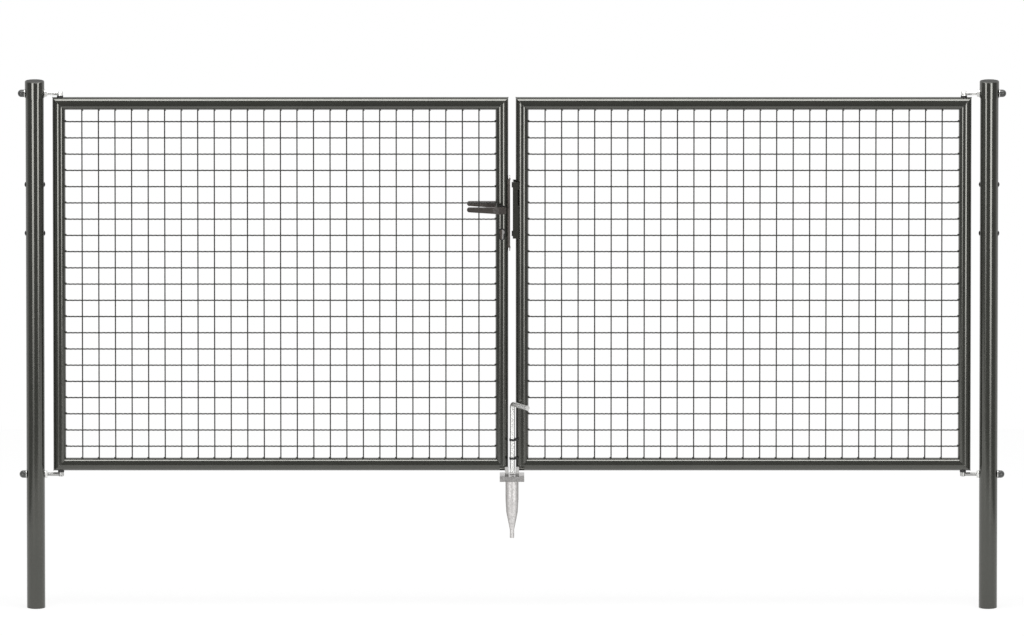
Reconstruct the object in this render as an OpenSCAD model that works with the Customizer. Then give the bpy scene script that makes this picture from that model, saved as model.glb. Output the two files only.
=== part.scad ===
// Double garden gate of round steel tube with crimped woven wire mesh.
// Origin: centre of the left post's foot. X runs along the gate, Y away from
// the front, Z up. All sizes are in millimetres.

/* [Posts] */
// Length of each post, with the part that stands in the ground
post_length = 1750; // [1500:10:2400]
// Outer diameter of the posts
post_d = 60; // [50:1:90]
// Wall of the posts
post_wall = 2; // [1.5:0.5:5]
// Height of the plastic cap's skirt
cap_skirt = 52; // [20:1:80]
// Wall and top thickness of the plastic cap
cap_wall = 1.9; // [1.5:0.1:4]
// Diameter of the round plugs in the posts
plug_d = 17.6; // [14:0.1:24]
// Height above the foot of the lower plugs
plug_low_z = 1247; // [700:1:1500]
// Distance between the lower and the upper plugs
plug_pitch = 162; // [60:1:300]

/* [Leaves] */
// Width of one leaf over its frame
leaf_w = 1488; // [1000:1:2200]
// Height of one leaf over its frame
leaf_h = 1242; // [900:1:1500]
// Height of the leaves' lower edge above the post's foot
leaf_bottom = 457; // [400:1:700]
// Outer diameter of the frame tubes
frame_d = 42; // [38:1:60]
// Wall of the frame tubes
frame_wall = 2; // [1.5:0.5:4]
// Gap between a post and its leaf
hinge_gap = 28; // [20:1:60]
// Gap between the two leaves
centre_gap = 24; // [22:1:40]

/* [Mesh] */
// Distance between wires, both ways
mesh_pitch = 54; // [40:1:80]
// Thickness of the wires
wire_d = 4; // [2.5:0.1:5]
// How far the mesh lies before the leaf's middle plane
mesh_front = 2.5; // [0:0.5:15]

/* [Hinges] */
// Diameter of the hinge bolts
pin_d = 12; // [10:0.5:20]
// Distance of the hinge axis from the leaf's outer edge
pin_inset = 25; // [20:0.5:40]
// Height of the hinge bolts' arms above and below the leaf
arm_gap = 12.5; // [12:0.5:30]
// How far the boss at the arm's end reaches below the arm's middle
boss_down = 7; // [6.5:0.5:14]
// Diameter of the boss
boss_d = 18.5; // [16:0.5:30]
// Length of the pin inside the leaf's frame
pin_depth = 38; // [24:1:60]
// Diameter of the bushes' flanges
bush_d = 20.5; // [17:0.5:30]
// Length of a bush's sleeve inside the rail
bush_sleeve = 14; // [8:1:16]
// Width across flats of the hinge nuts
nut_af = 21; // [18:0.5:32]
// Thickness of the hinge nuts
nut_h = 8.5; // [6:0.5:16]
// Diameter of the domed nut covers
cover_d = 24.5; // [20:0.5:34]
// Length of the domed nut covers
cover_len = 21; // [16:0.5:34]
// Thickness of the zinc washers under the covers
washer_t = 2; // [1.5:0.5:4]

/* [Lock] */
// Height of the handle's spindle above the leaf's lower edge
handle_up = 875; // [500:1:1000]
// Distance from the spindle down to the middle of the profile cylinder
cylinder_down = 85; // [72:1:100]
// Length of the lock's faceplate
plate_h = 251; // [220:1:300]
// Distance from the faceplate's top down to the spindle
plate_top_up = 107; // [80:1:130]
// Width of the faceplate
plate_w = 24; // [18:1:30]
// Thickness of the faceplate
plate_t = 3; // [2:0.5:4]
// Distance from the frame's edge to the faceplate's outer face
plate_out = 6; // [4:0.5:7]
// Thickness of the lock case
case_t = 16; // [10:0.5:18]
// Height of the latch in the faceplate
latch_h = 32; // [20:1:45]
// Height of the dead bolt in the faceplate
dead_bolt_h = 34; // [20:1:40]
// Width of the latch and the dead bolt
latch_w = 12; // [8:0.5:14]
// Reach of the lever handle from its spindle to its tip
lever_reach = 114; // [80:1:140]
// Distance of the lever's middle plane from the frame's middle plane
lever_out = 57; // [45:1:75]
// Thickness of the lever, front to back
lever_t = 15; // [10:0.5:22]
// Height of the lever at its hub
hub_h = 21; // [18:0.5:28]
// Height of the lever at its tip
tip_h = 15; // [10:0.5:20]
// Width of the lever's hub
hub_w = 28; // [24:0.5:36]
// How far the lever's arm steps back from its hub
lever_step = 3.5; // [0.5:0.5:6]
// Diameter of the lever's neck
neck_d = 16; // [12:0.5:20]
// Side of the square spindle
spindle_w = 8; // [6:0.5:10]

/* [Keep] */
// Length of the keep on the other leaf
keep_h = 188; // [150:1:240]
// Distance from the keep's top down to the spindle's height
keep_top_up = 89; // [60:1:110]
// Sheet thickness of the keep
keep_t = 2.5; // [2:0.5:4]
// Distance of the keep's outer face from the frame's edge
keep_out = 9.5; // [8:0.5:12]
// How far the keep's sides reach over the tube
keep_over = 10; // [5:0.5:16]
// Width of the notches in the keep's edges
keep_notch = 3.5; // [1:0.5:6]
// Diameter of the two bolt heads on the keep
keep_head_d = 18; // [12:0.5:24]
// Thickness of the two bolt heads on the keep
keep_head_t = 3.5; // [2:0.5:4]
// Distance of the bolts from the keep's ends
keep_bolt_in = 13; // [10:1:30]

/* [Drop bolt] */
// Diameter of the drop bolt's bar
bolt_d = 16; // [12:0.5:18]
// Distance of the drop bolt in front of the frame's middle plane
bolt_front = 19; // [16:0.5:30]
// Distance of the drop bolt beyond the middle of the gate
bolt_side = 1; // [0:0.5:4]
// Height of the drop bolt's handle above the leaf's lower edge
bolt_handle_up = 226; // [150:1:400]
// Reach of the drop bolt's handle
bolt_reach = 92; // [60:1:140]
// Angle of the handle, turned from the leaf towards the front
bolt_turn = 57; // [40:1:75]
// Height of the lower guide's middle above the leaf's lower edge
guide_up = 44; // [25:1:80]
// Distance between the two guides
guide_pitch = 62; // [40:1:100]
// Height of a guide
guide_h = 7.5; // [5:0.5:16]
// Wall of a guide
guide_wall = 1.75; // [1.5:0.25:4]
// Height of the resting bolt's tip above the socket plate
bolt_lift = 5; // [5:1:12]

/* [Ground socket] */
// Side of the square socket plate
socket_w = 80; // [70:1:120]
// Distance from the leaves' lower edge down to the socket plate
socket_gap = 11; // [8:1:30]
// Sheet thickness of the socket plate
socket_t = 3; // [2:0.5:5]
// Depth of the skirts along the socket plate's edges
socket_skirt = 16; // [8:1:30]
// Width of the ground stake
stake_w = 42.5; // [34:0.5:60]
// Depth of the ground stake, front to back
stake_depth = 34; // [28:1:50]
// Length of the ground stake below the socket plate
stake_len = 210; // [150:1:400]
// Width of the stake's blade at its tip
stake_tip = 14; // [10:0.5:20]
// Width of a stop lug
lug_w = 12; // [8:0.5:14]
// Height of the stop lugs above the plate
lug_h = 29; // [20:1:40]

/* [Hidden] */
$fn = 48;

anthracite = [0.23, 0.24, 0.23];
zinc = [0.78, 0.78, 0.78];
black_plastic = [0.1, 0.1, 0.1];
brown_plastic = [0.25, 0.22, 0.2];

// Clearance of a pin that turns or slides in a bore, on the radius
run_clear = 0.05;
// Clearance of a piece that is pushed through a hole, on the radius
push_clear = 0.1;
// Distance left between a resting face and its seat
seat_clear = 0.3;
// Chamfer of the hinge pins and their bosses
pin_chamfer = 1.5;
// Extra length of a cutting shape past the face that it cuts
cut_past = 5;

post_r = post_d / 2;
frame_r = frame_d / 2;
leaf_left = post_r + hinge_gap;
leaf_right = leaf_left + leaf_w;
gate_mid = leaf_right + centre_gap / 2;
leaf_top = leaf_bottom + leaf_h;
leaf_mid_x = leaf_left + leaf_w / 2;
leaf_mid_z = leaf_bottom + leaf_h / 2;
hinge_stile_x = leaf_left + frame_r;
lock_stile_x = leaf_right - frame_r;
pin_x = leaf_left + pin_inset;
arm_z_top = leaf_top + arm_gap;
arm_z_bottom = leaf_bottom - arm_gap;
bush_flange = arm_gap - boss_down - seat_clear;
cap_r = post_r + cap_wall + push_clear;
cap_bottom = post_length - cap_skirt;
// The top hinge sits on the cap's skirt where it reaches it, and else on the post
top_seat = arm_z_top + cover_d / 2 > cap_bottom ? cap_r : post_r;

// The wires end just short of the tubes' inner sides, where they are welded on.
wire_back = mesh_front - wire_d / 2;
wire_end = sqrt(pow(frame_r + seat_clear, 2) - pow(wire_back, 2));
// Half of the step between a wire in front and the wire behind it
weave = wire_d * 0.45;
field_w = leaf_w - 2 * frame_d;
field_h = leaf_h - 2 * frame_d;
columns = 2 * floor(field_w / 2 / mesh_pitch - 0.08) + 1;
rows = 2 * floor(field_h / 2 / mesh_pitch) + 1;
column_reach = (columns - 1) / 2;
row_reach = (rows - 1) / 2;

handle_z = leaf_bottom + handle_up;
cylinder_z = handle_z - cylinder_down;
latch_z = handle_z + 37.5;
dead_bolt_z = handle_z - 38;
plate_top = handle_z + plate_top_up;
plate_bottom = plate_top - plate_h;
plate_face = leaf_right + plate_out;
case_top = plate_top - 12;
case_bottom = plate_bottom + 12;
case_back = lock_stile_x - frame_r + frame_wall + 3;
neck_in = frame_r + 1;
rose_d = neck_d + 8;
rose_out = frame_r + 6;
hub_back = lever_out - lever_t / 2;

// European profile cylinder: round head over a narrow foot
profile_r = 8.5;
profile_foot_r = 5;
profile_h = 33;
profile_out = frame_r + 6;
trim_out = frame_r + 4;
trim_wall = 3.6;

keep_top = handle_z + keep_top_up;
keep_bottom = keep_top - keep_h;
keep_side_in = frame_r + push_clear;
keep_latch_h = latch_h + 21;
keep_dead_h = dead_bolt_h + 10;
keep_bolt_r = 4;
keep_spacer_r = 7;

bolt_r = bolt_d / 2;
bolt_x = gate_mid + bolt_side;
bolt_y = -bolt_front;
plate_z = leaf_bottom - socket_gap;
bolt_tip = plate_z + bolt_lift;
bolt_handle_z = leaf_bottom + bolt_handle_up;
bolt_bend = 12;
guide_r = bolt_r + run_clear + guide_wall;
guide_z = leaf_bottom + guide_up;
socket_hole_r = bolt_r + 1.5;
lug_clear = 5;
lug_t = 6;

// Copies the children to the other side of the gate
module on_right() {
  translate([2 * gate_mid, 0, 0]) mirror([1, 0, 0]) children();
}

// A round bar from low to high along X, Y or Z
module bar_x(r, low, high) {
  translate([low, 0, 0]) rotate([0, 90, 0]) cylinder(r = r, h = high - low);
}
module bar_y(r, low, high) {
  translate([0, high, 0]) rotate([90, 0, 0]) cylinder(r = r, h = high - low);
}
module bar_z(r, low, high) {
  translate([0, 0, low]) cylinder(r = r, h = high - low);
}

// Outline in X and Z, made solid from y = low to y = high
module slab_y(low, high) {
  translate([0, high, 0]) rotate([90, 0, 0]) linear_extrude(height = high - low) children();
}

// Post: a tube with holes for the hinge bolts and the plugs
module post_shape() {
  difference() {
    bar_z(post_r, 0, post_length);
    bar_z(post_r - post_wall, -cut_past, post_length + cut_past);
    for (z = [arm_z_top, arm_z_bottom])
      translate([0, 0, z]) bar_x(pin_d / 2 + push_clear, -post_d, post_d);
    for (z = [plug_low_z, plug_low_z + plug_pitch])
      translate([0, 0, z]) bar_x(plug_stem_r() + push_clear, -post_d, post_d);
  }
}

function plug_stem_r() = plug_d / 2 - 3;

// Cap: a thin cup over the post's end, with a rounded upper edge
module cap_shape() {
  top = post_length + cap_wall + 1;
  round_r = 3;
  outline = concat(
    [[0, post_length], [post_r + push_clear, post_length],
     [post_r + push_clear, cap_bottom], [cap_r, cap_bottom]],
    [for (a = [0:15:90]) [cap_r - round_r + round_r * cos(a), top - round_r + round_r * sin(a)]],
    [[0, top]]
  );
  difference() {
    rotate_extrude() polygon(outline);
    translate([0, 0, arm_z_top]) bar_x(pin_d / 2 + push_clear, -post_d, post_d);
  }
}

// Plugs: domed heads that sit on the post, with stems in its holes
module plug_shape() {
  dome_h = 4;
  head_r = plug_d / 2;
  dome_r = (head_r * head_r + dome_h * dome_h) / (2 * dome_h);
  dome_turn = asin(head_r / dome_r);
  outline = concat(
    [[0, post_r - 2], [head_r, post_r - 2]],
    [for (i = [6:-1:0]) [dome_r * sin(dome_turn * i / 6), post_r + dome_h - dome_r * (1 - cos(dome_turn * i / 6))]]
  );
  difference() {
    rotate([0, 90, 0]) rotate_extrude() polygon(outline);
    bar_z(post_r, -plug_d, plug_d);
  }
  bar_x(plug_stem_r(), post_r - post_wall - 3, post_r + 1);
}

module post_plugs_shape() {
  for (z = [plug_low_z, plug_low_z + plug_pitch], side = [0, 180])
    translate([0, 0, z]) rotate([0, 0, side]) plug_shape();
}

// Hinge bolt at the top: a bar through the post, with a boss and a pin down into the leaf
module hinge_bolt_shape(seat) {
  boss_r = boss_d / 2;
  boss_up = pin_d / 2 + 0.5;
  bar_x(pin_d / 2, -seat - washer_t - cover_len * 0.55, pin_x);
  translate([pin_x, 0, 0]) {
    bar_z(boss_r, -boss_down, boss_up - pin_chamfer);
    translate([0, 0, boss_up - pin_chamfer])
      cylinder(r1 = boss_r, r2 = boss_r - pin_chamfer, h = pin_chamfer);
    bar_z(pin_d / 2, -arm_gap - pin_depth + pin_chamfer, -boss_down);
    translate([0, 0, -arm_gap - pin_depth])
      cylinder(r1 = pin_d / 2 - pin_chamfer, r2 = pin_d / 2, h = pin_chamfer);
  }
}

module hinge_bolt_top() {
  translate([0, 0, arm_z_top]) hinge_bolt_shape(top_seat);
}

module hinge_bolt_bottom() {
  translate([0, 0, arm_z_bottom]) mirror([0, 0, 1]) hinge_bolt_shape(post_r);
}

module nut_shape(seat) {
  nut_r = nut_af / 2 / cos(30);
  flange_t = 2;
  difference() {
    union() {
      translate([seat, 0, 0]) rotate([0, 90, 0]) intersection() {
        cylinder(r = nut_r, h = nut_h, $fn = 6);
        cylinder(r1 = nut_af / 2 + nut_h * 1.7, r2 = nut_af / 2, h = nut_h);
      }
      bar_x(nut_r, seat, seat + flange_t);
    }
    bar_x(pin_d / 2 + run_clear, seat - cut_past, seat + nut_h + cut_past);
  }
}

module nuts_shape() {
  translate([0, 0, arm_z_top]) nut_shape(top_seat);
  translate([0, 0, arm_z_bottom]) nut_shape(post_r);
}

module washer_shape(seat) {
  difference() {
    bar_x(cover_d / 2 + 1, -seat - washer_t, -seat);
    bar_x(pin_d / 2 + run_clear, -seat - washer_t - cut_past, -seat + cut_past);
  }
}

module washers_shape() {
  translate([0, 0, arm_z_top]) washer_shape(top_seat);
  translate([0, 0, arm_z_bottom]) washer_shape(post_r);
}

// Nut cover: a straight skirt with a domed end, and the bolt's end inside
module cover_shape(seat) {
  base = -seat - washer_t;
  r = cover_d / 2;
  difference() {
    union() {
      bar_x(r, base - cover_len + r, base);
      translate([base - cover_len + r, 0, 0]) intersection() {
        sphere(r = r);
        bar_x(r + 1, -r - 1, 0);
      }
    }
    bar_x(pin_d / 2 + run_clear, base - cover_len * 0.6, base + cut_past);
  }
}

module covers_shape() {
  translate([0, 0, arm_z_top]) cover_shape(top_seat);
  translate([0, 0, arm_z_bottom]) cover_shape(post_r);
}

// Leaf frame: four tubes cut at 45 degrees where they meet
module mitred_rail(z, inward) {
  over = frame_d;
  intersection() {
    difference() {
      translate([0, 0, z]) bar_x(frame_r, leaf_left, leaf_right);
      translate([0, 0, z]) bar_x(frame_r - frame_wall, leaf_left - cut_past, leaf_right + cut_past);
    }
    translate([0, 0, z]) slab_y(-frame_d, frame_d) polygon([
      [leaf_left - over + frame_r, -inward * over],
      [leaf_right + over - frame_r, -inward * over],
      [leaf_right - over - frame_r, inward * over],
      [leaf_left + over + frame_r, inward * over]
    ]);
  }
}

module mitred_stile(x, inward) {
  over = frame_d;
  intersection() {
    difference() {
      translate([x, 0, 0]) bar_z(frame_r, leaf_bottom, leaf_top);
      translate([x, 0, 0]) bar_z(frame_r - frame_wall, leaf_bottom - cut_past, leaf_top + cut_past);
    }
    translate([x, 0, 0]) slab_y(-frame_d, frame_d) polygon([
      [-inward * over, leaf_bottom - over + frame_r],
      [inward * over, leaf_bottom + over + frame_r],
      [inward * over, leaf_top - over - frame_r],
      [-inward * over, leaf_top + over - frame_r]
    ]);
  }
}

module top_rail_shape() {
  difference() {
    mitred_rail(leaf_top - frame_r, -1);
    translate([pin_x, 0, 0]) bar_z(bush_sleeve_r() + push_clear, leaf_top - frame_r, leaf_top + cut_past);
  }
}

module bottom_rail_shape() {
  difference() {
    mitred_rail(leaf_bottom + frame_r, 1);
    translate([pin_x, 0, 0]) bar_z(bush_sleeve_r() + push_clear, leaf_bottom - cut_past, leaf_bottom + frame_r);
  }
}

function bush_sleeve_r() = pin_d / 2 + 2;

// Hinge bush at the top: a flange saddled on the rail and a sleeve in it
module bush_shape() {
  difference() {
    union() {
      difference() {
        translate([pin_x, 0, 0]) bar_z(bush_d / 2, leaf_top - 4, leaf_top + bush_flange);
        translate([0, 0, leaf_top - frame_r]) bar_x(frame_r, leaf_left, pin_x + bush_d);
      }
      translate([pin_x, 0, 0]) bar_z(bush_sleeve_r(), leaf_top - bush_sleeve, leaf_top + 1);
    }
    translate([pin_x, 0, 0])
      bar_z(pin_d / 2 + run_clear, leaf_top - bush_sleeve - cut_past, leaf_top + bush_flange + cut_past);
  }
}

module bushes_shape() {
  bush_shape();
  translate([0, 0, 2 * leaf_mid_z]) mirror([0, 0, 1]) bush_shape();
}

// Woven mesh: each wire swings from one side to the other between crossings.
// Middle line of a wire: [place along the wire, swing in Y] at each crossing
function wire_line(first, last, from, turn, start, end) = concat(
  [[start, 0]],
  [for (i = [first:last]) [from + i * mesh_pitch, turn * weave * (i % 2 == 0 ? 1 : -1)]],
  [[end, 0]]
);

// Outline of a wire of even thickness about its middle line
module wire_outline(line) {
  half = wire_d / 2;
  polygon(concat(
    [for (p = line) [p[0], p[1] - half]],
    [for (i = [len(line) - 1:-1:0]) [line[i][0], line[i][1] + half]]
  ));
}

module upright_wire(column) {
  x = leaf_mid_x + column * mesh_pitch;
  line = wire_line(-row_reach, row_reach, leaf_mid_z, column % 2 == 0 ? -1 : 1,
    leaf_bottom + frame_r + wire_end, leaf_top - frame_r - wire_end);
  translate([x + wire_d / 2, -mesh_front, 0])
    rotate([0, -90, 0]) linear_extrude(height = wire_d) wire_outline(line);
}

module level_wire(row, first, last, start, end) {
  z = leaf_mid_z + row * mesh_pitch;
  line = wire_line(first, last, leaf_mid_x, row % 2 == 0 ? 1 : -1, start, end);
  translate([0, -mesh_front, z - wire_d / 2]) linear_extrude(height = wire_d) wire_outline(line);
}

// One third of a leaf's mesh, from column first to column last
module mesh_third(first, last) {
  start = first == -column_reach ? hinge_stile_x + wire_end : leaf_mid_x + (first - 0.5) * mesh_pitch;
  end = last == column_reach ? lock_stile_x - wire_end : leaf_mid_x + (last + 0.5) * mesh_pitch;
  for (column = [first:last]) upright_wire(column);
  for (row = [-row_reach:row_reach]) level_wire(row, first, last, start, end);
}

side_first = round(column_reach / 3);

module mesh_hinge_side() { mesh_third(-column_reach, -side_first - 1); }
module mesh_middle() { mesh_third(-side_first, side_first); }
module mesh_meeting_side() { mesh_third(side_first + 1, column_reach); }

// Profile of the lock cylinder, in X and Z, grown by clear
module cylinder_profile(clear) {
  foot = profile_h - profile_r - profile_foot_r;
  up = profile_h / 2 - profile_r;
  translate([0, up]) union() {
    circle(r = profile_r + clear);
    translate([-profile_foot_r - clear, -foot]) square([2 * (profile_foot_r + clear), foot]);
    translate([0, -foot]) circle(r = profile_foot_r + clear);
  }
}

module lock_stile_shape() {
  difference() {
    mitred_stile(lock_stile_x, -1);
    translate([lock_stile_x, -case_t / 2 - push_clear, case_bottom - push_clear])
      cube([frame_d, case_t + 2 * push_clear, case_top - case_bottom + 2 * push_clear]);
    translate([lock_stile_x, 0, handle_z]) bar_y(spindle_w * 0.8, -frame_d, frame_d);
    translate([lock_stile_x, 0, cylinder_z]) slab_y(-frame_d, frame_d) cylinder_profile(push_clear);
  }
}

// Latch and dead bolt, flush with the faceplate, grown by clear
module lock_bolts(clear) {
  for (b = [[latch_z, latch_h], [dead_bolt_z, dead_bolt_h]])
    translate([plate_face - plate_t - 1, -latch_w / 2 - clear, b[0] - b[1] / 2 - clear])
      cube([plate_t + 1, latch_w + 2 * clear, b[1] + 2 * clear]);
}

module lock_case_shape() {
  lock_bolts(0);
  difference() {
    translate([case_back, -case_t / 2, case_bottom])
      cube([plate_face - plate_t - case_back, case_t, case_top - case_bottom]);
    translate([lock_stile_x, 0, handle_z]) bar_y(spindle_w * 0.8, -frame_d, frame_d);
    translate([lock_stile_x, 0, cylinder_z]) slab_y(-frame_d, frame_d) cylinder_profile(push_clear);
  }
}

module faceplate_shape() {
  end_r = plate_w / 2;
  difference() {
    translate([plate_face - plate_t, 0, 0]) rotate([0, 90, 0]) linear_extrude(height = plate_t)
      translate([-plate_top, 0]) union() {
        translate([end_r, -end_r]) square([plate_h - plate_w, plate_w]);
        translate([end_r, 0]) circle(r = end_r);
        translate([plate_h - end_r, 0]) circle(r = end_r);
      }
    translate([cut_past, 0, 0]) lock_bolts(push_clear);
    lock_bolts(push_clear);
  }
}

// Lock cylinder with a keyway at each end
module profile_cylinder_shape() {
  key_h = profile_r + 1;
  key_w = 2;
  key_deep = 12;
  plug_z = profile_h / 2 - profile_r;
  translate([lock_stile_x, 0, cylinder_z]) difference() {
    slab_y(-profile_out, profile_out) cylinder_profile(0);
    for (side = [-1, 1])
      translate([-key_w / 2, side * profile_out - key_deep, plug_z - key_h / 2])
        cube([key_w, 2 * key_deep, key_h]);
  }
}

// Roses around the lever's neck and covers around the profile cylinder
module trim_front() {
  difference() {
    union() {
      translate([lock_stile_x, 0, handle_z]) bar_y(rose_d / 2, -rose_out, 0);
      translate([lock_stile_x, 0, cylinder_z]) slab_y(-trim_out, 0) cylinder_profile(trim_wall);
    }
    translate([lock_stile_x, 0, 0]) bar_z(frame_r, leaf_bottom, leaf_top);
    translate([lock_stile_x, 0, handle_z]) bar_y(neck_d / 2 + run_clear, -frame_d, 0);
    translate([lock_stile_x, 0, cylinder_z]) slab_y(-frame_d, 0) cylinder_profile(push_clear);
  }
}

module lock_trim_shape() {
  trim_front();
  mirror([0, 1, 0]) trim_front();
}

// Lever: a neck, a square hub and an arm that tapers to a round tip
module lever_side() {
  tip_r = tip_h / 2;
  edge_r = 3;
  top = hub_h / 2;
  hull() {
    translate([hub_w / 2 - edge_r, top - edge_r]) circle(r = edge_r);
    translate([hub_w / 2 - edge_r, -top + edge_r]) circle(r = edge_r);
    translate([-hub_w / 2, -top + edge_r]) circle(r = edge_r);
    translate([-lever_reach + tip_r, top - tip_r]) circle(r = tip_r);
  }
}

// Lever from above: the arm steps back from the hub, and the corners are cut
module lever_plan() {
  front = -lever_out - lever_t / 2;
  arm_front = front + lever_step;
  cut = 3;
  polygon([
    [hub_w / 2 + 1, -hub_back],
    [hub_w / 2 + 1, front + cut + 1],
    [hub_w / 2 - cut, front],
    [-hub_w / 2 + 4, front],
    [-hub_w / 2 - 15, arm_front],
    [-lever_reach + cut, arm_front],
    [-lever_reach - 1, arm_front + cut + 1],
    [-lever_reach - 1, -hub_back - cut],
    [-lever_reach + cut, -hub_back]
  ]);
}

module lever_front() {
  translate([lock_stile_x, 0, handle_z]) difference() {
    union() {
      bar_y(neck_d / 2, -lever_out, -neck_in);
      intersection() {
        slab_y(-lever_out - lever_t / 2, -hub_back) lever_side();
        translate([0, 0, -hub_h]) linear_extrude(height = 2 * hub_h) lever_plan();
      }
    }
    translate([-spindle_w / 2, -lever_out, -spindle_w / 2])
      cube([spindle_w, lever_out, spindle_w]);
  }
}

module spindle_shape() {
  translate([lock_stile_x - spindle_w / 2, -lever_out, handle_z - spindle_w / 2])
    cube([spindle_w, 2 * lever_out, spindle_w]);
}

// Keep: a channel that straddles the meeting stile
module keep_shape() {
  latch_low = latch_z - keep_latch_h / 2;
  dead_low = dead_bolt_z - keep_dead_h / 2;
  edge = gate_mid + centre_gap / 2 + keep_over;
  difference() {
    translate([gate_mid, 0, keep_bottom]) linear_extrude(height = keep_h) polygon([
      [centre_gap / 2 - keep_out, -keep_side_in - keep_t],
      [centre_gap / 2 + keep_over, -keep_side_in - keep_t],
      [centre_gap / 2 + keep_over, -keep_side_in],
      [centre_gap / 2 - keep_out + keep_t, -keep_side_in],
      [centre_gap / 2 - keep_out + keep_t, keep_side_in],
      [centre_gap / 2 + keep_over, keep_side_in],
      [centre_gap / 2 + keep_over, keep_side_in + keep_t],
      [centre_gap / 2 - keep_out, keep_side_in + keep_t]
    ]);
    translate([gate_mid, -case_t / 2, latch_low])
      cube([centre_gap / 2, case_t, keep_latch_h]);
    translate([gate_mid, -case_t / 2, dead_low])
      cube([centre_gap / 2, case_t, keep_dead_h]);
    translate([edge - keep_notch, -frame_d, latch_low])
      cube([keep_notch + cut_past, 2 * frame_d, keep_latch_h]);
    for (z = keep_bolt_levels()) translate([gate_mid, 0, z]) bar_x(keep_bolt_r + push_clear, 0, frame_d);
  }
}

function keep_bolt_levels() = [keep_bottom + keep_bolt_in, keep_top - keep_bolt_in];

module keep_bolt_shape() {
  web_out = centre_gap / 2 - keep_out;
  translate([gate_mid, 0, 0]) {
    bar_x(keep_head_d / 2, web_out - keep_head_t, web_out);
    bar_x(keep_bolt_r, web_out - keep_head_t / 2, centre_gap / 2 + frame_wall + 6);
    difference() {
      bar_x(keep_spacer_r, web_out + keep_t, centre_gap / 2 + 3);
      translate([centre_gap / 2 + frame_r, 0, -frame_d]) bar_z(frame_r, 0, 2 * frame_d);
    }
  }
}

module keep_bolts_shape() {
  for (z = keep_bolt_levels()) translate([0, 0, z]) keep_bolt_shape();
}

module meeting_stile_shape() {
  difference() {
    on_right() mitred_stile(lock_stile_x, -1);
    for (z = keep_bolt_levels())
      translate([gate_mid, 0, z]) bar_x(keep_bolt_r + push_clear, 0, centre_gap / 2 + frame_r);
  }
}

// Guide: a ring around the drop bolt with a web to the meeting stile
module guide_shape() {
  stile_side = gate_mid + centre_gap / 2 + frame_r - bolt_x;
  web_turn = atan2(bolt_front, stile_side);
  web_len = norm([stile_side, bolt_front]);
  web_w = bolt_d * 0.9;
  translate([bolt_x, bolt_y, 0]) rotate([0, 0, web_turn]) difference() {
    union() {
      bar_z(guide_r, -guide_h / 2, guide_h / 2);
      translate([0, -web_w / 2, -guide_h / 2]) cube([web_len, web_w, guide_h]);
    }
    bar_z(bolt_r + run_clear, -guide_h, guide_h);
    translate([web_len, 0, 0]) bar_z(frame_r, -guide_h, guide_h);
  }
}

module bolt_guides_shape() {
  for (i = [0, 1]) translate([0, 0, guide_z + i * guide_pitch]) guide_shape();
}

// Drop bolt: a round bar bent over into its handle
module drop_bolt_shape() {
  point_h = 3;
  translate([bolt_x, bolt_y, 0]) rotate([0, 0, -bolt_turn]) {
    translate([0, 0, bolt_tip]) cylinder(r1 = bolt_r - point_h, r2 = bolt_r, h = point_h);
    bar_z(bolt_r, bolt_tip + point_h, bolt_handle_z - bolt_bend);
    translate([bolt_bend, 0, bolt_handle_z - bolt_bend]) rotate([90, 0, 0]) rotate([0, 0, 90])
      rotate_extrude(angle = 90) translate([bolt_bend, 0]) circle(r = bolt_r);
    translate([0, 0, bolt_handle_z]) bar_x(bolt_r, bolt_bend, bolt_reach);
  }
}

// Socket plate with skirts and the two stop lugs
module socket_plate_shape() {
  half = socket_w / 2;
  lug_x = frame_r * 0.24;
  difference() {
    translate([gate_mid - half, bolt_y - half, plate_z - socket_skirt])
      cube([socket_w, socket_w, socket_skirt]);
    translate([gate_mid - socket_w, bolt_y - half + socket_t, plate_z - socket_skirt - cut_past])
      cube([2 * socket_w, socket_w - 2 * socket_t, socket_skirt + cut_past - socket_t]);
    translate([bolt_x, bolt_y, 0]) bar_z(socket_hole_r, plate_z - cut_past, plate_z + cut_past);
  }
  for (side = [-1, 1])
    translate([gate_mid + side * (centre_gap / 2 + lug_x) - lug_w / 2, -frame_r - lug_clear - lug_t, plate_z])
      cube([lug_w, lug_t, lug_h]);
}

// Ground stake: a pressed gutter, open at the back, that narrows to its tip
module stake_shape() {
  r = stake_w / 2;
  top = plate_z - socket_t;
  shoulder = top - stake_len * 0.37;
  waist = top - stake_len * 0.58;
  tip_top = top - stake_len * 0.86;
  tip = plate_z - stake_len;
  outside = [[r, top], [r, shoulder], [r * 0.88, waist], [stake_tip / 2, tip_top], [stake_tip / 2, tip]];
  outline = concat(outside, [for (i = [4:-1:0]) [outside[i][0] - socket_t, outside[i][1]]]);
  translate([gate_mid, bolt_y, 0]) {
    rotate([0, 0, 180]) rotate_extrude(angle = 180) polygon(outline);
    for (x = [-r, r - socket_t]) translate([x, 0, shoulder])
      cube([socket_t, stake_depth - r, top - shoulder]);
  }
}

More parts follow.
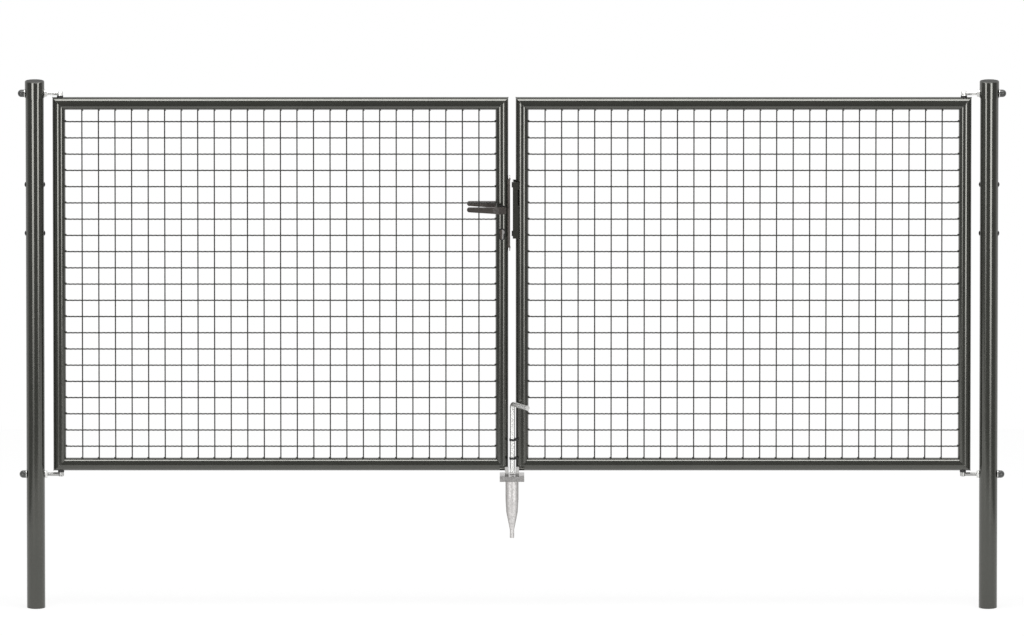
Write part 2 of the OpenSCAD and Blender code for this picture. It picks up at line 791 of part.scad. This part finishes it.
module left_post() { color(anthracite) post_shape(); }
module right_post() { color(anthracite) on_right() post_shape(); }
module left_post_cap() { color(black_plastic) cap_shape(); }
module right_post_cap() { color(black_plastic) on_right() cap_shape(); }
module left_post_plugs() { color(black_plastic) post_plugs_shape(); }
module right_post_plugs() { color(black_plastic) on_right() post_plugs_shape(); }
module left_top_hinge_bolt() { color(zinc) hinge_bolt_top(); }
module left_bottom_hinge_bolt() { color(zinc) hinge_bolt_bottom(); }
module right_top_hinge_bolt() { color(zinc) on_right() hinge_bolt_top(); }
module right_bottom_hinge_bolt() { color(zinc) on_right() hinge_bolt_bottom(); }
module left_hinge_nuts() { color(zinc) nuts_shape(); }
module right_hinge_nuts() { color(zinc) on_right() nuts_shape(); }
module left_hinge_washers() { color(zinc) washers_shape(); }
module right_hinge_washers() { color(zinc) on_right() washers_shape(); }
module left_nut_covers() { color(black_plastic) covers_shape(); }
module right_nut_covers() { color(black_plastic) on_right() covers_shape(); }
module socket_plate() { color(zinc) socket_plate_shape(); }
module ground_stake() { color(zinc) stake_shape(); }
module left_top_rail() { color(anthracite) top_rail_shape(); }
module left_bottom_rail() { color(anthracite) bottom_rail_shape(); }
module left_hinge_stile() { color(anthracite) mitred_stile(hinge_stile_x, 1); }
module lock_stile() { color(anthracite) lock_stile_shape(); }
module left_mesh_hinge_side() { color(anthracite) mesh_hinge_side(); }
module left_mesh_middle() { color(anthracite) mesh_middle(); }
module left_mesh_lock_side() { color(anthracite) mesh_meeting_side(); }
module left_hinge_bushes() { color(black_plastic) bushes_shape(); }
module lock_faceplate() { color(zinc) faceplate_shape(); }
module lock_case() { color(zinc) lock_case_shape(); }
module profile_cylinder() { color(zinc) profile_cylinder_shape(); }
module lock_trim() { color(brown_plastic) lock_trim_shape(); }
module front_lever() { color(brown_plastic) lever_front(); }
module rear_lever() { color(brown_plastic) mirror([0, 1, 0]) lever_front(); }
module handle_spindle() { color(zinc) spindle_shape(); }
module right_top_rail() { color(anthracite) on_right() top_rail_shape(); }
module right_bottom_rail() { color(anthracite) on_right() bottom_rail_shape(); }
module right_hinge_stile() { color(anthracite) on_right() mitred_stile(hinge_stile_x, 1); }
module meeting_stile() { color(anthracite) meeting_stile_shape(); }
module right_mesh_hinge_side() { color(anthracite) on_right() mesh_hinge_side(); }
module right_mesh_middle() { color(anthracite) on_right() mesh_middle(); }
module right_mesh_meeting_side() { color(anthracite) on_right() mesh_meeting_side(); }
module right_hinge_bushes() { color(black_plastic) on_right() bushes_shape(); }
module lock_keep() { color(anthracite) keep_shape(); }
module keep_bolts() { color(black_plastic) keep_bolts_shape(); }
module bolt_guides() { color(black_plastic) bolt_guides_shape(); }
module drop_bolt() { color(zinc) drop_bolt_shape(); }

left_post();
right_post();
left_post_cap();
right_post_cap();
left_post_plugs();
right_post_plugs();
left_top_hinge_bolt();
left_bottom_hinge_bolt();
right_top_hinge_bolt();
right_bottom_hinge_bolt();
left_hinge_nuts();
right_hinge_nuts();
left_hinge_washers();
right_hinge_washers();
left_nut_covers();
right_nut_covers();
socket_plate();
ground_stake();
left_top_rail();
left_bottom_rail();
left_hinge_stile();
lock_stile();
left_mesh_hinge_side();
left_mesh_middle();
left_mesh_lock_side();
left_hinge_bushes();
lock_faceplate();
lock_case();
profile_cylinder();
lock_trim();
front_lever();
rear_lever();
handle_spindle();
right_top_rail();
right_bottom_rail();
right_hinge_stile();
meeting_stile();
right_mesh_hinge_side();
right_mesh_middle();
right_mesh_meeting_side();
right_hinge_bushes();
lock_keep();
keep_bolts();
bolt_guides();
drop_bolt();
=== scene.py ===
# Looks of a double garden gate: powder-coated tubes, crimped woven wire, zinc-plated fittings and
# moulded plastic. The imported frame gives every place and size, in metres.
import math

import bpy
import numpy as np
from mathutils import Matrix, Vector


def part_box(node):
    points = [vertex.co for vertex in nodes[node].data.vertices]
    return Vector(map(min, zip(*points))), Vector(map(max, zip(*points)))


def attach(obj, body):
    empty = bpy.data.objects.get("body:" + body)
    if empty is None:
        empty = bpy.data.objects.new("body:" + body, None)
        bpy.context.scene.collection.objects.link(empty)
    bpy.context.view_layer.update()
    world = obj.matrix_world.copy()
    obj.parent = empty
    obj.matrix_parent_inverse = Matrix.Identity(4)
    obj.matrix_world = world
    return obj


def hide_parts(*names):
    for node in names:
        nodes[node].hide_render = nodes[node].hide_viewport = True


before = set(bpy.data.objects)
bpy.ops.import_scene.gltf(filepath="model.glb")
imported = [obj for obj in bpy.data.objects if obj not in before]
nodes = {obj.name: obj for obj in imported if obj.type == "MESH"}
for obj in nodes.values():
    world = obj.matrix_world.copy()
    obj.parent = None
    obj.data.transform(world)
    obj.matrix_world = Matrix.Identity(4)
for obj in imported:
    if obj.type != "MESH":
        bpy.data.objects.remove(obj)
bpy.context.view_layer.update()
MM = 0.001


# Shader maths

class Value:
    """A socket in a node tree, with the sums that a finish needs."""

    def __init__(self, finish, socket):
        self.finish = finish
        self.socket = socket

    def math(self, operation, first, second):
        return self.finish.node("ShaderNodeMath", {"operation": operation}, first, second)

    def __add__(self, other):
        return self.math("ADD", self, other)

    def __sub__(self, other):
        return self.math("SUBTRACT", self, other)

    def __rsub__(self, other):
        return self.math("SUBTRACT", other, self)

    def __mul__(self, other):
        return self.math("MULTIPLY", self, other)

    __radd__ = __add__
    __rmul__ = __mul__


class Finish:
    """The node tree of a material or of the world, built by expressions."""

    def __init__(self, owner):
        owner.use_nodes = True
        self.owner = owner
        self.tree = owner.node_tree
        self.tree.nodes.clear()

    def node(self, kind, settings, *inputs, out=0, **named):
        """A node with its settings made first, then its sockets by order and by name."""
        new = self.tree.nodes.new(kind)
        for key, value in settings.items():
            if key == "stops":
                self.set_stops(new.color_ramp, value)
            else:
                setattr(new, key, value)
        for i, value in enumerate(inputs):
            if value is not None:
                self.feed(new.inputs[i], value)
        for key, value in named.items():
            self.feed(new.inputs[key.replace("_", " ")], value)
        return Value(self, new.outputs[out])

    def feed(self, socket, value):
        """Links a value to a socket, or sets the socket to a number or colour."""
        if isinstance(value, Value):
            self.tree.links.new(value.socket, socket)
        else:
            socket.default_value = value

    def set_stops(self, ramp, stops):
        while len(ramp.elements) < len(stops):
            ramp.elements.new(0.5)
        for element, (place, tone) in zip(ramp.elements, stops):
            element.position = place
            element.color = (tone, tone, tone, 1)

    def place(self, stretch=(1, 1, 1)):
        """The place on the object, in metres."""
        spot = self.node("ShaderNodeTexCoord", {}, out="Object")
        return self.node("ShaderNodeVectorMath", {"operation": "MULTIPLY"}, spot, stretch)

    def along(self, vector, axis):
        """The X, Y or Z of a vector."""
        return self.node("ShaderNodeSeparateXYZ", {}, vector, out=axis)

    def facing(self, axis):
        """How far the surface faces along an axis, from -1 to 1."""
        normal = self.node("ShaderNodeNewGeometry", {}, out="Normal")
        return self.along(normal, axis)

    def ray(self, name):
        """1 for light paths of one kind, 0 for the others."""
        return self.node("ShaderNodeLightPath", {}, out=f"Is {name} Ray")

    def noise(self, scale, detail=2.0, stretch=(1, 1, 1)):
        return self.node("ShaderNodeTexNoise", {}, Vector=self.place(stretch), Scale=scale, Detail=detail)

    def cells(self, scale):
        return self.node("ShaderNodeTexVoronoi", {}, Vector=self.place(), Scale=scale, out="Color")

    def ramp(self, value, *stops):
        """Grey tones by value, from stops of value and tone."""
        return self.node("ShaderNodeValToRGB", {"stops": stops}, value)

    def spangle(self):
        """The grain of galvanised sheet: clouds and small cells, from 0 to 1."""
        clouds = self.ramp(self.noise(90, 4), (0.3, 0), (0.7, 1))
        crystals = self.ramp(self.cells(260), (0, 0), (1, 1))
        return 0.5 * clouds + 0.5 * crystals

    def between(self, factor, low, high):
        """The colour low where factor is 0, and high where it is 1."""
        sockets_of_other_types = [None] * 5
        colours = [c if isinstance(c, Value) else (*c, 1) for c in (low, high)]
        return self.node("ShaderNodeMix", {"data_type": "RGBA"}, factor, *sockets_of_other_types, *colours,
                         out=2)

    def bump(self, height, strength, distance):
        return self.node("ShaderNodeBump", {}, Height=height, Strength=strength, Distance=distance)

    def principled(self, **sockets):
        return self.node("ShaderNodeBsdfPrincipled", {}, **sockets)

    def surface(self, shader):
        """The finished material or world, with this shader on its surface."""
        is_world = isinstance(self.owner, bpy.types.World)
        out = self.tree.nodes.new("ShaderNodeOutputWorld" if is_world else "ShaderNodeOutputMaterial")
        self.tree.links.new(shader.socket, out.inputs["Surface"])
        return self.owner


def new_finish(name):
    return Finish(bpy.data.materials.new(name))


# Finishes

def powder_coat():
    """Glossy anthracite with the faint orange peel of baked powder."""
    f = new_finish("powder_coat")
    clouds = f.ramp(f.noise(9, 3), (0.35, 0), (0.65, 1))
    return f.surface(f.principled(
        Base_Color=f.between(clouds, (0.0165, 0.0172, 0.0142), (0.0205, 0.0212, 0.0178)),
        Roughness=0.12 + 0.03 * f.noise(60),
        IOR=1.8,
        Specular_Tint=(1, 1, 0.93, 1),
        Normal=f.bump(f.noise(420), 0.02, 0.1 * MM),
    ))


def shaded_wire_coat():
    """The powder coat of the wires, duller than on the tubes, with a darker colour that paints shade on the
    thin wires.
    """
    f = new_finish("shaded_wire_coat")
    return f.surface(f.principled(
        # Darker than the powder coat of the tubes: painted shade on the wires.
        Base_Color=f.between(f.noise(300, 3), (0.012, 0.0125, 0.01), (0.019, 0.0195, 0.0165)),
        Roughness=0.32 + 0.1 * f.noise(500),
        IOR=1.5,
        Normal=f.bump(f.noise(900, 3), 0.05, 0.2 * MM),
    ))


def cap_plastic():
    """Glossy moulded plastic in the posts' colour, with a matt top."""
    f = new_finish("cap_plastic")
    top = f.ramp(f.facing("Z"), (0.93, 0), (0.99, 1))
    tone = f.between(f.noise(30, 3), (0.0155, 0.016, 0.0135), (0.0195, 0.02, 0.0172))
    glossy = f.principled(
        Base_Color=tone,
        Roughness=0.13,
        IOR=1.8,
        Specular_Tint=(1, 1, 0.93, 1),
        Normal=f.bump(f.noise(500), 0.02, 0.1 * MM),
    )
    matt = f.principled(
        Base_Color=tone,
        Roughness=0.55 + 0.1 * f.noise(400),
        Specular_IOR_Level=0.45,
        Normal=f.bump(f.noise(1200), 0.3, 0.2 * MM),
    )
    return f.surface(f.node("ShaderNodeMixShader", {}, top, glossy, matt))


def zinc_plating(name, light):
    """Zinc plating with a soft mottle and fine drawing lines; light scales its colour, so that below 1 it is
    a darker copy with painted shade.
    """
    f = new_finish(name)
    mottle = f.ramp(f.noise(120, 4), (0.3, 0), (0.7, 1))
    dark, pale = (0.72, 0.72, 0.7), (0.85, 0.85, 0.83)
    return f.surface(f.principled(
        Base_Color=f.between(mottle, [light * c for c in dark], [light * c for c in pale]),
        Metallic=1.0,
        Roughness=0.33 + 0.08 * f.noise(120, 3),
        Normal=f.bump(f.noise(700, stretch=(1, 1, 0.06)), 0.01, 0.1 * MM),
    ))


def plate_zinc():
    """Galvanised sheet of the ground socket: a glossy spangle, with a painted highlight that makes the stop
    lugs brighter.
    """
    f = new_finish("plate_zinc")
    lugs_rise = 29 * MM
    lugs_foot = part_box("socket_plate")[1].z - lugs_rise
    # Near-white colour above the foot of the lugs: painted highlight.
    lugs = f.ramp((f.along(f.place(), "Z") - lugs_foot) * (1 / MM), (0, 0), (1, 1))
    sheet = f.between(f.spangle(), (0.34, 0.33, 0.325), (0.68, 0.665, 0.65))
    return f.surface(f.principled(
        Base_Color=f.between(lugs, sheet, (0.85, 0.84, 0.82)),
        Metallic=1.0,
        Roughness=0.14 + 0.16 * f.noise(260, 3),
        Normal=f.bump(f.noise(500, 3), 0.12, 0.15 * MM),
    ))


def stake_zinc():
    """Galvanised gutter of the stake: spangled, with painted shade where it faces sideways."""
    f = new_finish("stake_zinc")
    # Darker colour where the surface faces sideways: painted shade on the sides of the gutter.
    turned = f.node("ShaderNodeMath", {"operation": "ABSOLUTE"}, f.facing("X"))
    sides = f.ramp(turned, (0.6, 0), (1.0, 1))
    face = f.between(f.spangle(), (0.48, 0.465, 0.455), (0.82, 0.8, 0.79))
    return f.surface(f.principled(
        Base_Color=f.between(sides, face, (0.3, 0.285, 0.275)),
        Metallic=1.0,
        Roughness=0.42 + 0.16 * f.noise(260, 3),
        Normal=f.bump(f.noise(500, 3), 0.15, 0.15 * MM),
    ))


def lock_steel():
    """Satin steel of the lock, slightly brown, with fine upright lines."""
    f = new_finish("lock_steel")
    lines = f.noise(900, stretch=(1, 1, 0.03))
    return f.surface(f.principled(
        Base_Color=f.between(f.noise(150, 3), (0.2, 0.178, 0.165), (0.3, 0.272, 0.255)),
        Metallic=1.0,
        Roughness=0.3 + 0.14 * lines,
        Normal=f.bump(lines, 0.1, 0.1 * MM),
    ))


def black_plastic():
    """Moulded plastic with a fine grain."""
    f = new_finish("black_plastic")
    return f.surface(f.principled(
        Base_Color=f.between(f.noise(30, 3), (0.012, 0.012, 0.012), (0.019, 0.019, 0.018)),
        Roughness=0.4 + 0.12 * f.noise(300),
        Normal=f.bump(f.noise(1500), 0.25, 0.1 * MM),
    ))


def sheen_cover_plastic():
    """Dark moulded plastic of the domed nut covers, greyer than the other plastic: the lighter tone paints
    their sheen.
    """
    f = new_finish("sheen_cover_plastic")
    return f.surface(f.principled(
        # Lighter than the black plastic: painted sheen on the covers.
        Base_Color=f.between(f.noise(90, 3), (0.04, 0.041, 0.039), (0.068, 0.07, 0.067)),
        Roughness=0.28 + 0.12 * f.noise(300),
        IOR=1.6,
        Normal=f.bump(f.noise(900), 0.1, 0.1 * MM),
    ))


def cylinder_plating():
    """Plating of the lock cylinder: brown at its left, with a painted highlight that makes it bright at its
    right.
    """
    f = new_finish("nickel")
    low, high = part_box("profile_cylinder")
    across = (f.along(f.place(), "X") - low.x) * (1 / (high.x - low.x))
    # The bright colour over the right side is a painted highlight.
    bright = f.ramp(across, (0.45, 0), (0.62, 1))
    return f.surface(f.principled(
        Base_Color=f.between(bright, (0.23, 0.195, 0.17), (0.93, 0.91, 0.89)),
        Metallic=1.0,
        Roughness=0.2 + 0.12 * f.noise(500),
        Normal=f.bump(f.noise(700), 0.08, 0.1 * MM),
    ))


def lever_plastic(name, light):
    """Satin brown-black plastic of a lever; light scales its colour, so that above 1 it is a brighter copy
    with painted light.
    """
    f = new_finish(name)
    dark, pale = (0.036, 0.031, 0.028), (0.05, 0.043, 0.038)
    return f.surface(f.principled(
        Base_Color=f.between(f.noise(40, 3), [light * c for c in dark], [light * c for c in pale]),
        Roughness=0.3 + 0.12 * f.noise(250),
        Normal=f.bump(f.noise(1100), 0.15, 0.1 * MM),
    ))


COAT = powder_coat()
WIRE = shaded_wire_coat()
CAP = cap_plastic()
ZINC = zinc_plating("bright_zinc", 1.0)
# The zinc at 0.55 of its brightness: painted shade on the bottom hinge bolts.
SHADED_LOWER_ZINC = zinc_plating("shaded_lower_zinc", 0.55)
PLATE = plate_zinc()
STAKE = stake_zinc()
STEEL = lock_steel()
BLACK = black_plastic()
SHEEN_COVER = sheen_cover_plastic()
CYLINDER = cylinder_plating()
LEVER = lever_plastic("lever_plastic", 1.0)
# The lever plastic at twice its brightness: painted light on the rear lever.
LIT_REAR_LEVER = lever_plastic("lit_rear_lever_plastic", 2.0)

FINISH_OF = {
    COAT: ["left_post", "right_post", "left_top_rail", "left_bottom_rail", "left_hinge_stile", "lock_stile",
           "right_top_rail", "right_bottom_rail", "right_hinge_stile", "meeting_stile", "lock_keep"],
    ZINC: ["left_top_hinge_bolt", "right_top_hinge_bolt", "left_hinge_nuts", "right_hinge_nuts",
           "left_hinge_washers", "right_hinge_washers", "drop_bolt"],
    SHADED_LOWER_ZINC: ["left_bottom_hinge_bolt", "right_bottom_hinge_bolt"],
    PLATE: ["socket_plate"],
    STAKE: ["ground_stake"],
    STEEL: ["lock_faceplate", "lock_case", "handle_spindle"],
    CYLINDER: ["profile_cylinder"],
    CAP: ["left_post_cap", "right_post_cap"],
    SHEEN_COVER: ["left_nut_covers", "right_nut_covers"],
    BLACK: ["left_post_plugs", "right_post_plugs", "left_hinge_bushes", "right_hinge_bushes", "lock_trim",
            "keep_bolts", "bolt_guides"],
    LEVER: ["front_lever"],
    LIT_REAR_LEVER: ["rear_lever"],
}


def finish_node(name, material):
    mesh = nodes[name].data
    mesh.materials.clear()
    mesh.materials.append(material)


for material, names in FINISH_OF.items():
    for name in names:
        finish_node(name, material)


# Mesh making

class Shape:
    """Points and faces that become one object."""

    def __init__(self):
        self.points = []
        self.faces = []

    def add(self, points, faces):
        start = len(self.points)
        self.points.extend(tuple(float(v) for v in p) for p in points)
        self.faces.extend(tuple(start + i for i in face) for face in faces)

    def piece(self, name, material, body, slot, smooth=True):
        """The finished object, riding on a body of the frame."""
        mesh = bpy.data.meshes.new(name)
        mesh.from_pydata(self.points, [], self.faces)
        mesh.materials.append(material)
        mesh.polygons.foreach_set("use_smooth", [smooth] * len(mesh.polygons))
        mesh.update()
        obj = bpy.data.objects.new(name, mesh)
        bpy.context.scene.collection.objects.link(obj)
        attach(obj, body)
        return obj


def circle(sides, offset=0.0):
    """Angles evenly round a circle; offset is a share of their step."""
    return [2 * math.pi * (i + offset) / sides for i in range(sides)]


def ring_faces(rings, sides, loop=False):
    """Quads between rings of points, whose ends are filled, or joined when they make a loop."""
    faces = []
    for i in range(rings if loop else rings - 1):
        here, ahead = i * sides, (i + 1) % rings * sides
        for j in range(sides):
            k = (j + 1) % sides
            faces.append((here + j, here + k, ahead + k, ahead + j))
    if not loop:
        faces.append(tuple(range(sides - 1, -1, -1)))
        faces.append(tuple(range((rings - 1) * sides, rings * sides)))
    return faces


# Crimped wire mesh

# A wire's radius, its swing to each side, and the distance from crossing to crossing
WIRE_R = 2.35 * MM
WEAVE = 1.45 * MM
PITCH = 54 * MM
# Half waves of the crimp from crossing to crossing, and how finely they are drawn
HALF_WAVES = 7
RINGS_PER_HALF_WAVE = 3
WIRE_SIDES = 6
# The wires, counted from the middle of the leaf
ROWS = range(-10, 11)
COLUMNS = range(-12, 13)
COLUMN_THIRDS = (range(-12, -4), range(-4, 5), range(5, 13))


def wave_line(start, end, crossing, swing):
    """Places along a wire and its swing there: crests alternate from one crossing to the next."""
    count = round((end - start) / PITCH * HALF_WAVES * RINGS_PER_HALF_WAVE)
    along = np.linspace(start, end, count + 1)
    return along, swing * np.cos(math.pi * HALF_WAVES * (along - crossing) / PITCH)


def wire(shape, line, build):
    """A round wire whose middle line swings in Y; build turns (along, side, swing) into a point."""
    along, swing = line
    slope = np.gradient(swing, along)
    length = np.sqrt(1 + slope ** 2)
    points = []
    for a, s, m, n in zip(along, swing, slope, length):
        for turn in circle(WIRE_SIDES, 0.5):
            side = WIRE_R * math.cos(turn)
            out = WIRE_R * math.sin(turn)
            points.append(build(a - out * m / n, side, s + out / n))
    shape.add(points, ring_faces(len(along), WIRE_SIDES))


def mesh_third(leaf, third, columns):
    """One third of a leaf's mesh, in place of its CAD node."""
    node = f"{leaf}_mesh_{third}"
    low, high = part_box(node)
    rail_low, rail_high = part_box(f"{leaf}_top_rail")
    middle_x = (rail_low.x + rail_high.x) / 2
    middle_z = (low.z + high.z) / 2
    plane = (low.y + high.y) / 2
    shape = Shape()
    for column in columns:
        x = middle_x + column * PITCH
        line = wave_line(low.z, high.z, middle_z, -WEAVE if column % 2 == 0 else WEAVE)
        wire(shape, line, lambda a, side, out: (x + side, plane + out, a))
    for row in ROWS:
        z = middle_z + row * PITCH
        line = wave_line(low.x, high.x, middle_x, WEAVE if row % 2 == 0 else -WEAVE)
        wire(shape, line, lambda a, side, out: (a, plane + out, z + side))
    piece = shape.piece(f"{node}_wires", WIRE, f"{leaf}_leaf", "powder_coat")
    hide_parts(node)


# The meshes of each leaf, from left to right
THIRDS = {
    "left": ("hinge_side", "middle", "lock_side"),
    "right": ("meeting_side", "middle", "hinge_side"),
}
for leaf, thirds in THIRDS.items():
    for third, columns in zip(thirds, COLUMN_THIRDS):
        mesh_third(leaf, third, columns)


# Welds

# Half sizes of the spots on the bottom rail, the top rail and the stiles
FOOT_SPOT = (3.6 * MM, 3 * MM, 3 * MM)
TOP_SPOT = (3.2 * MM, 3 * MM, 2.6 * MM)
SIDE_SPOT = (3 * MM, 3 * MM, 3.6 * MM)
SPOT_INSET = 0.8 * MM
SPOT_ASIDE = 2 * MM
SPOT_SIDES = 8
SPOT_LEVELS = 5
BEAD_R = 1.1 * MM
BEAD_SINK = 0.2 * MM
BEAD_SIDES = 6
BEAD_POINTS = 40


def weld_spot(shape, centre, radii):
    """A closed rounded drop of weld metal."""
    sides = SPOT_SIDES
    points = [(centre[0], centre[1], centre[2] - radii[2])]
    for i in range(1, SPOT_LEVELS):
        tilt = math.pi * (i / SPOT_LEVELS - 0.5)
        for turn in circle(sides):
            points.append((centre[0] + radii[0] * math.cos(tilt) * math.cos(turn),
                           centre[1] + radii[1] * math.cos(tilt) * math.sin(turn),
                           centre[2] + radii[2] * math.sin(tilt)))
    points.append((centre[0], centre[1], centre[2] + radii[2]))
    last = len(points) - 1
    top = last - sides
    faces = []
    for j in range(sides):
        k = (j + 1) % sides
        faces.append((0, 1 + k, 1 + j))
        for low in range(1, top, sides):
            faces.append((low + j, low + k, low + sides + k, low + sides + j))
        faces.append((last, top + j, top + k))
    shape.add(points, faces)


def weld_bead(shape, line):
    """A round bead along a closed line of points."""
    line = [Vector(p) for p in line]
    points = []
    for i, p in enumerate(line):
        ahead = (line[(i + 1) % len(line)] - line[i - 1]).normalized()
        up = Vector((0, 1, 0)) if abs(ahead.y) < 0.9 else Vector((1, 0, 1)).normalized()
        side = ahead.cross(up).normalized()
        up = side.cross(ahead)
        points += [p + BEAD_R * (math.cos(turn) * side + math.sin(turn) * up) for turn in circle(BEAD_SIDES)]
    shape.add(points, ring_faces(len(line), BEAD_SIDES, loop=True))


def leaf_welds(leaf):
    """Weld spots where the wires meet the frame, and a bead round each mitred corner."""
    low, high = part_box(f"{leaf}_top_rail")
    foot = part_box(f"{leaf}_bottom_rail")[0]
    tube_r = (high.z - low.z) / 2
    left, right, bottom, top = low.x + tube_r, high.x - tube_r, foot.z + tube_r, high.z - tube_r
    middle_x, middle_z = (left + right) / 2, (bottom + top) / 2
    mesh_low, mesh_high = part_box(f"{leaf}_mesh_middle")
    depth = (mesh_low.y + mesh_high.y) / 2
    inset = tube_r + SPOT_INSET
    spots = Shape()
    for column in COLUMNS:
        x = middle_x + column * PITCH
        weld_spot(spots, (x - SPOT_ASIDE, depth, bottom + inset), FOOT_SPOT)
        weld_spot(spots, (x + SPOT_ASIDE, depth, top - inset), TOP_SPOT)
    for row in ROWS:
        z = middle_z + row * PITCH + SPOT_ASIDE
        for x in (left + inset, right - inset):
            weld_spot(spots, (x, depth, z), SIDE_SPOT)
    spots.piece(f"{leaf}_wire_welds", COAT, f"{leaf}_leaf", "powder_coat")
    seams = Shape()
    r = tube_r - BEAD_SINK
    for x, z, slope in ((left, top, -1), (right, top, 1), (left, bottom, 1), (right, bottom, -1)):
        weld_bead(seams, [(x + r * math.cos(t), r * math.sin(t), z + slope * r * math.cos(t))
                          for t in circle(BEAD_POINTS)])
    seams.piece(f"{leaf}_corner_welds", COAT, f"{leaf}_leaf", "powder_coat")


leaf_welds("left")
leaf_welds("right")


# Fittings

SCREW_INSET = 12 * MM
SCREW_SIDES = 24
# Height above the faceplate and radius, in millimetres, from the rim to the middle
SCREW_HEAD = ((-0.1, 4.2), (0.4, 3.9), (0.8, 2.8), (1.0, 1.5), (1.05, 0.05))
# The black bars of painted shade that stand for the slots, and how high above the faceplate they start and
# end
SLOT_LONG = 4.4 * MM
SLOT_WIDE = 0.9 * MM
SLOT_FOOT = 0.2 * MM
SLOT_FACE = 1.12 * MM


def faceplate_screws():
    """Two raised countersunk screws whose crossed slots are black bars of painted shade."""
    low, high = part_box("lock_faceplate")
    heads, slots = Shape(), Shape()
    for z in (low.z + SCREW_INSET, high.z - SCREW_INSET):
        heads.add([(high.x + rise * MM, r * MM * math.cos(turn), z + r * MM * math.sin(turn))
                   for rise, r in SCREW_HEAD for turn in circle(SCREW_SIDES)],
                  ring_faces(len(SCREW_HEAD), SCREW_SIDES))
        for wide, tall in ((SLOT_LONG, SLOT_WIDE), (SLOT_WIDE, SLOT_LONG)):
            w, h = wide / 2, tall / 2
            slots.add([(high.x + x, y, z + v) for x in (SLOT_FOOT, SLOT_FACE)
                       for y, v in ((-w, -h), (w, -h), (w, h), (-w, h))], ring_faces(2, 4))
    heads.piece("faceplate_screws", STEEL, "left_leaf", "lock_metal")
    # The slots are black bars: painted shade in the steel heads.
    slots.piece("screw_slot_shade", BLACK, "left_leaf", "lock_metal", smooth=False)


faceplate_screws()


# Stage: floor, light and camera

MIDDLE_X = (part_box("left_post")[0].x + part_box("right_post")[1].x) / 2
# Two corners of the floor, and the share of its own glow that the camera sees
FLOOR_LOW = (-1.5, -2.2)
FLOOR_HIGH = (4.6, 3)
FLOOR_GLOW = 0.85
# The front lights, with the brightness of their tiers from the top down
LAMP_DISTANCE = 6.5
LAMP_WIDTH = 2.6
LAMP_TOP = 2.6
LAMP_FADE_STEP = 0.3
LAMP_TIERS = (6.6, 4.4, 1.9, 0.3)
LENS = 1050
SENSOR = 36
# What the picture takes in at the gate, and the height of its middle
VIEW_WIDTH = 3.3466
VIEW_HEIGHT = 0.9646
# Height over width of a level circle in the photograph
VIEW_SLOPE = 0.1908


def floor():
    """A pale floor that is white to the camera and keeps the gate's shadow."""
    (x0, y0), (x1, y1) = FLOOR_LOW, FLOOR_HIGH
    mesh = bpy.data.meshes.new("floor")
    mesh.from_pydata([(x0, y0, 0), (x1, y0, 0), (x1, y1, 0), (x0, y1, 0)], [], [(0, 1, 2, 3)])
    f = new_finish("floor")
    seen = f.ray("Camera")
    for kind in ("Glossy", "Transmission"):
        seen = f.node("ShaderNodeMath", {"operation": "MAXIMUM"}, seen, f.ray(kind))
    plain = f.node("ShaderNodeBsdfDiffuse", {}, Color=(0.95, 0.95, 0.95, 1))
    glow = f.node("ShaderNodeEmission", {}, Color=(1, 1, 1, 1), Strength=1.0)
    mesh.materials.append(f.surface(f.node("ShaderNodeMixShader", {}, FLOOR_GLOW * seen, plain, glow)))
    obj = bpy.data.objects.new("floor", mesh)
    bpy.context.scene.collection.objects.link(obj)


def sky():
    """White to the camera. To everything else it is bright behind the gate and dim before it."""
    f = Finish(bpy.data.worlds.new("studio"))
    depth = f.along(f.node("ShaderNodeTexCoord", {}, out="Generated"), "Y")
    studio = f.ramp(0.5 + 0.5 * depth, (0.0, 0.25), (0.45, 0.3), (0.62, 0.9), (1.0, 0.9))
    tone = f.between(f.ray("Camera"), studio, (1, 1, 1))
    bpy.context.scene.world = f.surface(f.node("ShaderNodeBackground", {}, Color=tone, Strength=1.0))


def softbox(name, place, aim, size, radiance):
    """A soft light of one brightness that the camera doesn't see."""
    lamp = bpy.data.lights.new(name, "AREA")
    lamp.shape = "RECTANGLE"
    lamp.size, lamp.size_y = size
    lamp.energy = radiance * math.pi * size[0] * size[1]
    obj = bpy.data.objects.new(name, lamp)
    obj.location = place
    obj.rotation_euler = (Vector(aim) - obj.location).to_track_quat("-Z", "Y").to_euler()
    obj.visible_camera = False
    bpy.context.scene.collection.objects.link(obj)


def front_light(name, x, low):
    """An upright softbox before the gate that fades in steps below the height low."""
    edges = [LAMP_TOP] + [low - i * LAMP_FADE_STEP for i in range(len(LAMP_TIERS))]
    for i, (top, bottom, radiance) in enumerate(zip(edges, edges[1:], LAMP_TIERS)):
        z = (top + bottom) / 2
        softbox(f"{name}_{i}", (x, -LAMP_DISTANCE, z), (MIDDLE_X, 0, z), (LAMP_WIDTH, top - bottom), radiance)


def camera():
    """A long lens from far away, looking down by about 11 degrees."""
    tilt = math.asin(VIEW_SLOPE)
    distance = LENS * VIEW_WIDTH / SENSOR
    data = bpy.data.cameras.new("camera")
    data.sensor_width = SENSOR
    data.lens = LENS
    data.clip_start = 1
    data.clip_end = 500
    target = Vector((MIDDLE_X, 0, VIEW_HEIGHT))
    obj = bpy.data.objects.new("camera", data)
    obj.location = target + distance * Vector((0, -math.cos(tilt), math.sin(tilt)))
    obj.rotation_euler = (math.pi / 2 - tilt, 0, 0)
    bpy.context.scene.collection.objects.link(obj)
    bpy.context.scene.camera = obj


floor()
sky()
front_light("left_softbox", x=-2.76, low=0.0)
front_light("right_softbox", x=5.88, low=-0.25)
softbox("overhead_softbox", place=(MIDDLE_X, -0.85, 5.7), aim=(MIDDLE_X, 0, 1.7), size=(6.5, 2.0),
        radiance=7.0)
camera()
bpy.context.scene.view_settings.view_transform = "Standard"
